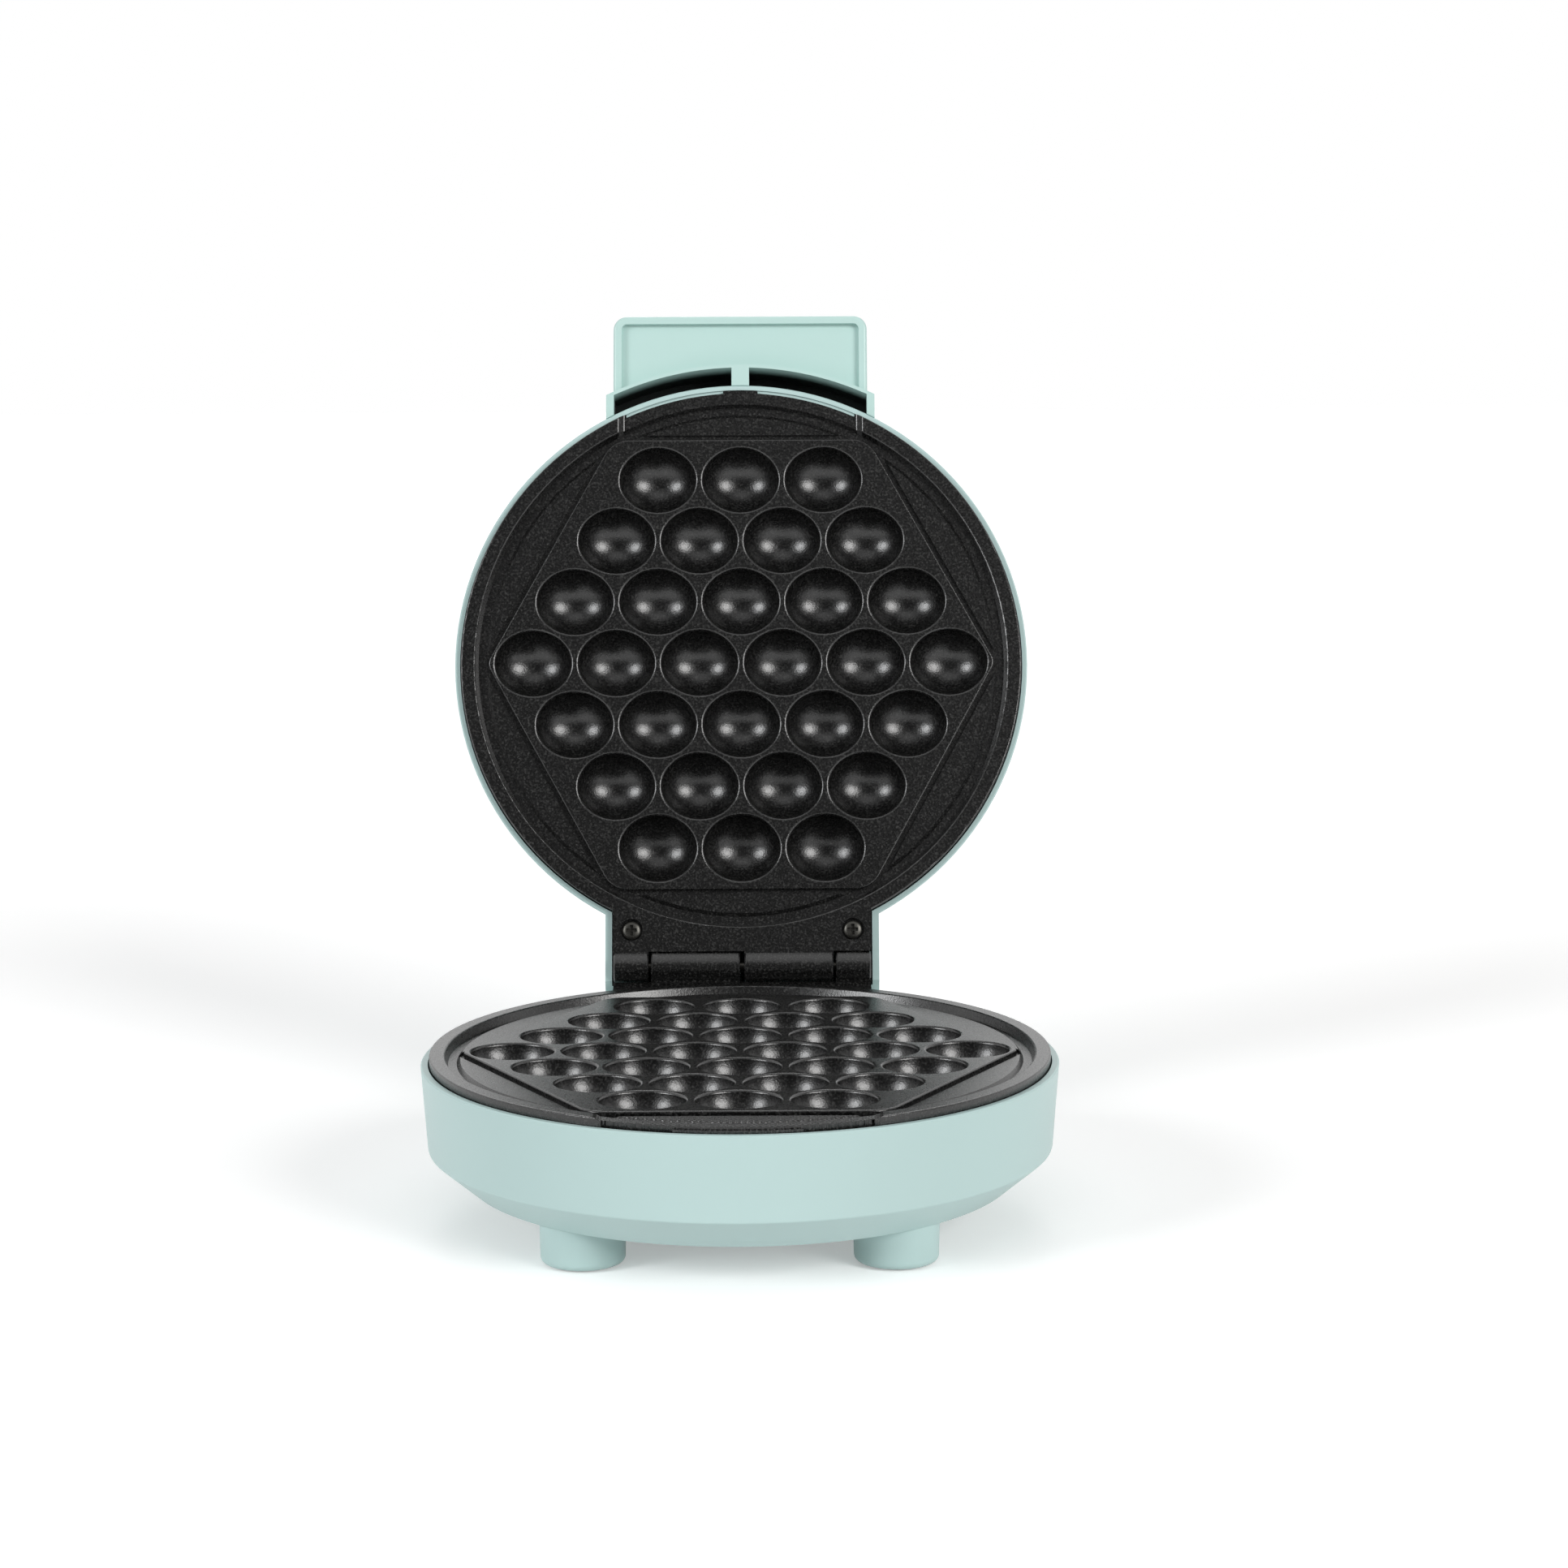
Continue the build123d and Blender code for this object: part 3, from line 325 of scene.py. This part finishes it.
class WAFFLE_OT_handle(bpy.types.Operator):
    """Finish the mint handle"""
    bl_idname = "waffle.handle"
    bl_label = "Handle"

    def execute(self, context):
        coat(NODES["handle"], handle_phenolic())
        return {"FINISHED"}


class WAFFLE_OT_plates(bpy.types.Operator):
    """Finish the two cupped plates"""
    bl_idname = "waffle.plates"
    bl_label = "Plates"

    def execute(self, context):
        casting = coated_casting()
        coat(NODES["lower_plate"], casting)
        coat(NODES["upper_plate"], casting)
        return {"FINISHED"}


class WAFFLE_OT_heating(bpy.types.Operator):
    """Finish the elements, shields, sensors and terminals inside"""
    bl_idname = "waffle.heating"
    bl_label = "Heating parts"

    def execute(self, context):
        # drawn steel tube, tinted straw and brown by heat
        tube = surface(
            "Steel tube, heat tinted", linear("#6B5C4E"), linear("#8C8377"), (0.3, 0.5), 0.0008, 0.00001,
            metal=1.0, patch=0.012)
        # aluminised sheet straight from the press, cloudy and bright
        sheet = surface(
            "Aluminised sheet, pressed", linear("#BFC1C3"), linear("#D4D5D6"), (0.25, 0.42),
            0.0015, 0.000015, metal=1.0, patch=0.02)
        # steel screws with a thin bright zinc plating
        zinc = surface(
            "Steel, zinc plated", linear("#A9ABAC"), linear("#C2C3C1"), (0.22, 0.36), 0.0006, 0.000008,
            metal=1.0, patch=0.004)
        # phenolic sensor body from a polished mould
        phenolic = surface(
            "Phenolic, moulded brown", linear("#241C18"), linear("#30261F"), (0.25, 0.4), 0.0007, 0.00001)
        # nylon with the waxy look of a natural moulding
        nylon = surface(
            "Nylon, moulded natural", linear("#D9D8CE"), linear("#E4E3DA"), (0.4, 0.55), 0.0008, 0.00001)
        # silicone sleeve with a dull dusty skin
        silicone = surface(
            "Silicone sleeve, extruded", linear("#C9C7BC"), linear("#D8D6CC"), (0.6, 0.75), 0.0009, 0.00002)
        for node in ("lower_element", "upper_element"):
            coat(NODES[node], tube)
        for node in ("lower_heat_shield", "upper_heat_shield", "fuse_clip", "thermal_fuse"):
            coat(NODES[node], sheet)
        for node in (
                "lower_plate_screws", "shield_screws", "handle_screws", "sensor_screws", "terminal_screws"):
            coat(NODES[node], zinc)
        coat(NODES["thermostat"], phenolic)
        for node in ("terminal_block", "wire_connectors"):
            coat(NODES[node], nylon)
        for node in ("base_leads", "upper_leads"):
            coat(NODES[node], silicone)
        return {"FINISHED"}


class WAFFLE_OT_feet(bpy.types.Operator):
    """Finish the foot pads and the cord inlet"""
    bl_idname = "waffle.feet"
    bl_label = "Feet and inlet"

    def execute(self, context):
        # soft rubber, dull and slightly dusty
        base = tuple(context.scene.waffle_colours.rubber)
        rubber = surface(
            "Rubber, moulded", shade(base, 0.85), shade(base, 1.2), (0.6, 0.78),
            0.0009, 0.00002, patch=0.008)
        coat(NODES["foot_pads"], rubber)
        coat(NODES["cord_inlet"], rubber)
        return {"FINISHED"}


def pan_head(tree, size):
    """Head of a screw, drawn as a cylinder whose top falls away toward its rim."""
    head = add(tree, "GeometryNodeMeshCylinder", {
        "Vertices": 48, "Fill Segments": 8, "Radius": size["Head radius"], "Depth": size["Head height"]})
    place = add(tree, "GeometryNodeInputPosition").outputs[0]
    axes = add(tree, "ShaderNodeSeparateXYZ", {"Vector": place})
    flat = add(tree, "ShaderNodeCombineXYZ", {"X": axes.outputs["X"], "Y": axes.outputs["Y"]})
    out = add(tree, "ShaderNodeVectorMath", {0: flat.outputs[0]}, operation="LENGTH").outputs["Value"]
    curve = worked(tree, "POWER", worked(tree, "DIVIDE", out, size["Head radius"]), 4.0)
    fall = worked(tree, "MULTIPLY", worked(tree, "MULTIPLY", curve, size["Head height"]), -0.35)
    drop = add(tree, "ShaderNodeCombineXYZ", {"Z": fall})
    above = add(tree, "FunctionNodeCompare", {0: axes.outputs["Z"], 1: 0.0}, operation="GREATER_THAN")
    domed = add(tree, "GeometryNodeSetPosition", {
        "Geometry": head.outputs["Mesh"], "Selection": above.outputs[0], "Offset": drop.outputs[0]})
    return moved(tree, domed.outputs[0], worked(tree, "MULTIPLY", size["Head height"], 0.5))


def moved(tree, form, height):
    """Geometry socket of a form lifted by a height."""
    lift = add(tree, "ShaderNodeCombineXYZ", {"Z": height})
    return add(tree, "GeometryNodeTransform", {"Geometry": form, "Translation": lift.outputs[0]}).outputs[0]


def cross_cut(tree, head, size):
    """Head with a cross recess, cut by two bars."""
    reach = worked(tree, "MULTIPLY", size["Head radius"], 1.15)
    deep = worked(tree, "MULTIPLY", size["Head height"], 1.3)
    for first, second in ((reach, size["Cross width"]), (size["Cross width"], reach)):
        bar_size = add(tree, "ShaderNodeCombineXYZ", {"X": first, "Y": second, "Z": deep})
        bar = add(tree, "GeometryNodeMeshCube", {"Size": bar_size.outputs[0]})
        cutter = add(tree, "GeometryNodeMeshBoolean", {
            "Mesh 1": head, "Mesh 2": moved(tree, bar.outputs["Mesh"], size["Head height"])},
            operation="DIFFERENCE")
        head = cutter.outputs["Mesh"]
    return head


def screw_tree(steel, sizes):
    """Geometry Nodes tree that puts a cross-head screw at each point, turned to look out of the lid."""
    tree = bpy.data.node_groups.new("Neck screws", "GeometryNodeTree")
    tree.is_modifier = True
    tree.interface.new_socket(name="Points", in_out="INPUT", socket_type="NodeSocketGeometry")
    tree.interface.new_socket(name="Screws", in_out="OUTPUT", socket_type="NodeSocketGeometry")
    for name, size in sizes.items():
        tree.interface.new_socket(
            name=name, in_out="INPUT", socket_type="NodeSocketFloat").default_value = size
    size = add(tree, "NodeGroupInput").outputs
    result = add(tree, "NodeGroupOutput")
    head = cross_cut(tree, pan_head(tree, size), size)
    shank = add(tree, "GeometryNodeMeshCylinder", {
        "Vertices": 32, "Radius": size["Shank radius"], "Depth": size["Shank length"]})
    hung = moved(tree, shank.outputs["Mesh"], worked(tree, "MULTIPLY", size["Shank length"], -0.5))
    whole = add(tree, "GeometryNodeJoinGeometry")
    tree.links.new(head, whole.inputs[0])
    tree.links.new(hung, whole.inputs[0])
    turn = add(tree, "ShaderNodeCombineXYZ", {"X": size["Tilt"]})
    placed = add(tree, "GeometryNodeInstanceOnPoints", {
        "Points": size["Points"], "Instance": whole.outputs[0], "Rotation": turn.outputs[0]})
    real = add(tree, "GeometryNodeRealizeInstances", {"Geometry": placed.outputs[0]})
    made = add(tree, "GeometryNodeSetMaterial", {"Geometry": real.outputs[0], "Material": steel})
    tree.links.new(made.outputs[0], result.inputs[0])
    return tree


def grown(points, tree, sizes):
    """Plain mesh of a tree run on points, with its inputs set by their identifiers."""
    start = bpy.data.meshes.new("Points")
    start.from_pydata(points, [], [])
    carrier = bpy.data.objects.new("Points", start)
    bpy.context.scene.collection.objects.link(carrier)
    step = carrier.modifiers.new("Nodes", "NODES")
    step.node_group = tree
    for item in tree.interface.items_tree:
        if item.in_out == "INPUT" and item.name in sizes:
            step[item.identifier] = sizes[item.name]
    ready = carrier.evaluated_get(bpy.context.evaluated_depsgraph_get())
    mesh = bpy.data.meshes.new_from_object(ready)
    carrier.modifiers.remove(step)
    bpy.data.objects.remove(carrier)
    return mesh


class WAFFLE_OT_screws(bpy.types.Operator):
    """Put the cross-head screws in the neck of the lid, and finish the hinge pin"""
    bl_idname = "waffle.screws"
    bl_label = "Neck screws"

    def execute(self, context):
        # steel screws blackened in hot oil
        base = tuple(context.scene.waffle_colours.screws)
        steel = surface(
            "Steel, blackened", shade(base, 0.7), base, (0.3, 0.5), 0.0006, 0.00001, metal=1.0, patch=0.003)
        sizes = context.scene.waffle_sizes
        low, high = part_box("neck_screws")
        tilt = math.pi - OPENING
        radius, height = sizes.screw_head, sizes.screw_height
        seat_y = low[1] + height * math.sin(tilt) + radius * math.cos(tilt)
        seat_z = high[2] - height * math.cos(tilt) - radius * math.sin(tilt)
        length_y = high[1] - seat_y - sizes.shank_radius * math.cos(tilt)
        values = {
            "Head radius": radius, "Head height": height, "Cross width": sizes.cross_width,
            "Shank radius": sizes.shank_radius, "Shank length": length_y / math.sin(tilt), "Tilt": tilt}
        points = [(low[0] + radius, seat_y, seat_z), (high[0] - radius, seat_y, seat_z)]
        mesh = grown(points, screw_tree(steel, values), values)
        coat(NODES["hinge_pin"], steel)
        smooth(mesh, 35)
        piece_from(mesh, "neck_screw_heads", "lid", "screw_steel", "neck_screws")
        return {"FINISHED"}


# Stage

def photo_camera():
    """Camera with the place, turn and angle of view worked out from the photograph."""
    data = bpy.data.cameras.new("Camera")
    data.sensor_width = SENSOR_WIDTH
    data.lens = SENSOR_WIDTH * FOCAL_LENGTH_PX / PHOTO_WIDTH_PX
    data.clip_start = 0.05
    data.clip_end = 50.0
    camera = bpy.data.objects.new("Camera", data)
    bpy.context.scene.collection.objects.link(camera)
    yaw, pitch, roll = (math.radians(a) for a in CAMERA_TURN)
    forward = Vector((math.sin(yaw) * math.cos(pitch), math.cos(yaw) * math.cos(pitch), -math.sin(pitch)))
    level = Vector((math.cos(yaw), -math.sin(yaw), 0))
    top = level.cross(forward)
    right = math.cos(roll) * level + math.sin(roll) * top
    up = math.cos(roll) * top - math.sin(roll) * level
    turn = Matrix((right, up, -forward)).transposed()
    place = (CAMERA_ASIDE, PLATE_Y - CAMERA_BEFORE_PLATE, CAMERA_HEIGHT)
    camera.matrix_world = Matrix.Translation(place) @ turn.to_4x4()
    bpy.context.scene.camera = camera


def softbox(name, azimuth, elevation, strength, spread, tint):
    """Distant soft lamp that shines on the object from an azimuth and an elevation in degrees."""
    data = bpy.data.lights.new(name, "SUN")
    data.energy = strength
    data.angle = math.radians(spread)
    data.color = tint
    lamp = bpy.data.objects.new(name, data)
    bpy.context.scene.collection.objects.link(lamp)
    a, e = math.radians(azimuth), math.radians(elevation)
    toward = Vector((math.sin(a) * math.cos(e), -math.cos(a) * math.cos(e), math.sin(e)))
    lamp.rotation_mode = "QUATERNION"
    lamp.rotation_quaternion = toward.to_track_quat("Z", "Y")


def seen_directly(tree):
    """Socket that is 1 on rays from the camera, off gloss or through glass."""
    rays = add(tree, "ShaderNodeLightPath").outputs
    gloss = worked(tree, "MAXIMUM", rays["Is Camera Ray"], rays["Is Glossy Ray"])
    return worked(tree, "MAXIMUM", gloss, rays["Is Transmission Ray"])


def studio_floor():
    """White studio floor that keeps the shadow of the object."""
    mesh = bpy.data.meshes.new("Floor")
    half = 4.0
    corners = [(-half, -half, 0), (half, -half, 0), (half, half, 0), (-half, half, 0)]
    mesh.from_pydata(corners, [], [(0, 1, 2, 3)])
    floor = bpy.data.objects.new("Floor", mesh)
    bpy.context.scene.collection.objects.link(floor)
    material, tree, output, _ = blank("Studio floor, painted white")
    paint = add(tree, "ShaderNodeBsdfDiffuse", {"Color": (0.92, 0.92, 0.92, 1)})
    lift = add(tree, "ShaderNodeEmission", {"Color": (1, 1, 1, 1), "Strength": 0.3})
    both = add(tree, "ShaderNodeAddShader", {0: paint.outputs[0], 1: lift.outputs[0]})
    pick = add(tree, "ShaderNodeMixShader", {
        0: seen_directly(tree), 1: paint.outputs[0], 2: both.outputs[0]})
    tree.links.new(pick.outputs[0], output.inputs["Surface"])
    coat(floor, material)


def studio_world():
    """Even grey light that is white to the camera.

    In gloss the backdrop behind the object is white, and the room in front of it is dark.
    """
    world = bpy.data.worlds.new("Studio")
    bpy.context.scene.world = world
    world.use_nodes = True
    tree = world.node_tree
    tree.nodes.clear()
    way = add(tree, "ShaderNodeTexCoord").outputs["Generated"]
    backdrop = add(tree, "ShaderNodeMapRange", {
        "Value": add(tree, "ShaderNodeSeparateXYZ", {"Vector": way}).outputs["Y"],
        "From Min": -0.3, "From Max": 0.1, "To Min": 0.06}).outputs["Result"]
    camera = add(tree, "ShaderNodeLightPath").outputs["Is Camera Ray"]
    fill = add(tree, "ShaderNodeBackground", {"Color": (1, 1, 1, 1), "Strength": 0.2})
    white = add(tree, "ShaderNodeBackground", {
        "Color": (1, 1, 1, 1), "Strength": worked(tree, "MAXIMUM", camera, backdrop)})
    pick = add(tree, "ShaderNodeMixShader", {
        0: seen_directly(tree), 1: fill.outputs[0], 2: white.outputs[0]})
    add(tree, "ShaderNodeOutputWorld", {"Surface": pick.outputs[0]})


class WAFFLE_OT_stage(bpy.types.Operator):
    """Set up the floor, the lamps, the world and the camera"""
    bl_idname = "waffle.stage"
    bl_label = "Stage"

    def execute(self, context):
        context.scene.view_settings.view_transform = "Standard"
        photo_camera()
        studio_floor()
        studio_world()
        softbox("Key right", 45, 24, 1.85, 28, (1.0, 0.99, 0.98))
        softbox("Fill left", -56, 24, 1.5, 24, (0.98, 0.99, 1.0))
        softbox("Overhead", -5, 65, 0.35, 44, (1.0, 1.0, 1.0))
        softbox("Back", 180, 40, 0.6, 30, (1.0, 1.0, 1.0))
        return {"FINISHED"}


class WAFFLE_PT_panel(bpy.types.Panel):
    """Lists the steps and the settings of the waffle maker"""
    bl_idname = "WAFFLE_PT_panel"
    bl_label = "Waffle maker"
    bl_space_type = "VIEW_3D"
    bl_region_type = "UI"
    bl_category = "Waffle maker"

    def draw(self, context):
        for group in (context.scene.waffle_colours, context.scene.waffle_sizes):
            for name in group.__annotations__:
                self.layout.prop(group, name)
        for step in STEPS:
            self.layout.operator(step.bl_idname)


STEPS = (
    WAFFLE_OT_housings, WAFFLE_OT_handle, WAFFLE_OT_plates, WAFFLE_OT_heating, WAFFLE_OT_feet,
    WAFFLE_OT_screws, WAFFLE_OT_stage)
CLASSES = (WaffleColours, WaffleSizes, *STEPS, WAFFLE_PT_panel)


def register():
    """Registers the classes and hangs the settings on the scene."""
    for kind in CLASSES:
        bpy.utils.register_class(kind)
    bpy.types.Scene.waffle_colours = PointerProperty(type=WaffleColours)
    bpy.types.Scene.waffle_sizes = PointerProperty(type=WaffleSizes)


def unregister():
    """Removes the settings and the classes."""
    del bpy.types.Scene.waffle_sizes
    del bpy.types.Scene.waffle_colours
    for kind in reversed(CLASSES):
        bpy.utils.unregister_class(kind)


def main():
    """Runs every step in order."""
    register()
    for step in STEPS:
        group, name = step.bl_idname.split(".")
        getattr(getattr(bpy.ops, group), name)()
    bpy.context.view_layer.update()


if __name__ == "__main__":
    main()
